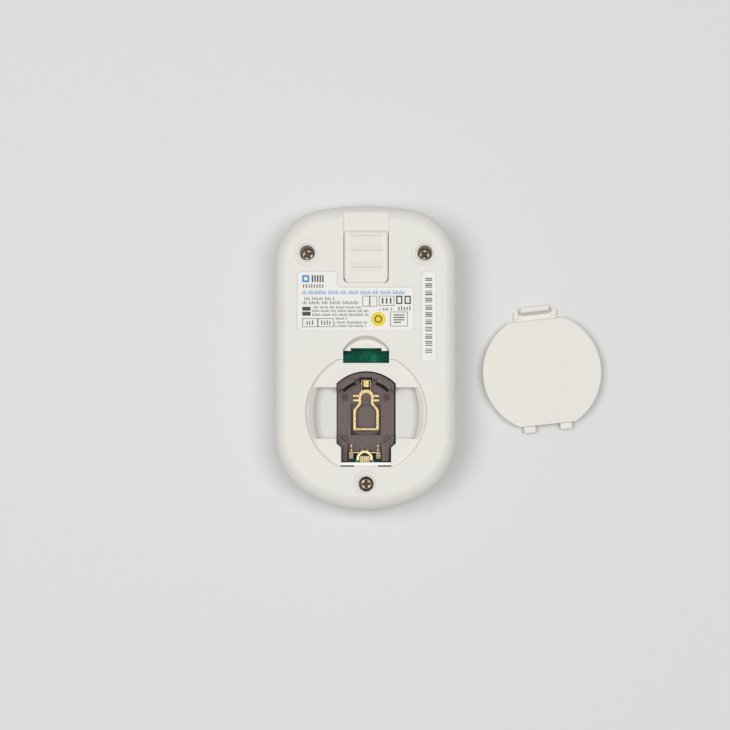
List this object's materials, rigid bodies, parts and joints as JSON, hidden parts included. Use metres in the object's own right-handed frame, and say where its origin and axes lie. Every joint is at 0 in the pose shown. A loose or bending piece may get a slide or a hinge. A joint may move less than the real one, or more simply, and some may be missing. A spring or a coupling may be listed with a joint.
{
  "type": "blood glucose meter",
  "caption": "Palm-sized meter lying on its front: rounded case, strip ejector slide, open coin cell bay, labels, buttons and display, with its round battery door beside it.",
  "frame": {"origin": "centre of the flat front face, which the meter lies on", "axes": "+Z out of the back of the case, +Y towards the strip port, +X to the right, towards the loose battery door"},
  "size_m": [0.0949, 0.0875, 0.0185],
  "materials": {
    "case_abs": "fine moulded texture",
    "door_abs": "fine moulded texture",
    "slider_abs": "satin",
    "lens_acrylic": "polished",
    "lcd_glass": "satin",
    "inner_plastic": "natural",
    "connector_rubber": "matte",
    "board_fr4": "solder mask",
    "chip_epoxy": "moulded",
    "tinned_metal": "satin",
    "holder_plastic": "glass-filled",
    "contact_gold": "gold flash",
    "screw_nickel": "dull nickel",
    "button_blue": "satin",
    "button_grey": "satin",
    "label_film": "printed film"
  },
  "bodies": {
    "case": {"front_shell": "case_abs", "rear_shell": "case_abs", "display_lens": "lens_acrylic", "lcd_panel": "lcd_glass", "lcd_carrier": "inner_plastic", "zebra_strips": "connector_rubber", "circuit_board": "board_fr4", "main_chip": "chip_epoxy", "quartz_crystal": "tinned_metal", "chip_components": "chip_epoxy", "buzzer": "chip_epoxy", "button_switches": "chip_epoxy", "strip_socket": "inner_plastic", "socket_contacts": "contact_gold", "battery_holder": "holder_plastic", "negative_contact": "contact_gold", "positive_contact": "contact_gold", "case_screws": "screw_nickel", "board_screws": "tinned_metal", "rating_label": "label_film", "serial_label": "label_film"},
    "ejector": {"ejector_slider": "slider_abs", "ejector_carriage": "inner_plastic"},
    "main_key": {"main_button": "button_blue"},
    "left_key": {"left_button": "button_grey"},
    "right_key": {"right_button": "button_grey"},
    "door": {"battery_door": "door_abs"}
  },
  "joints": [
    {"name": "ejector_slide", "type": "slide", "parent": "case", "child": "ejector", "axis": [0, 1, 0], "range_m": [0, 0.005]},
    {"name": "main_press", "type": "slide", "parent": "case", "child": "main_key", "axis": [0, 0, 1], "range_m": [0, 0.0006], "stiffness_N_per_m": 1500},
    {"name": "left_press", "type": "slide", "parent": "case", "child": "left_key", "axis": [0, 0, 1], "range_m": [0, 0.0006], "stiffness_N_per_m": 1500},
    {"name": "right_press", "type": "slide", "parent": "case", "child": "right_key", "axis": [0, 0, 1], "range_m": [0, 0.0006], "stiffness_N_per_m": 1500},
    {"name": "door_lift", "type": "slide", "parent": "case", "child": "door", "axis": [0, 0, 1], "range_m": [0, 0.05]}
  ]
}
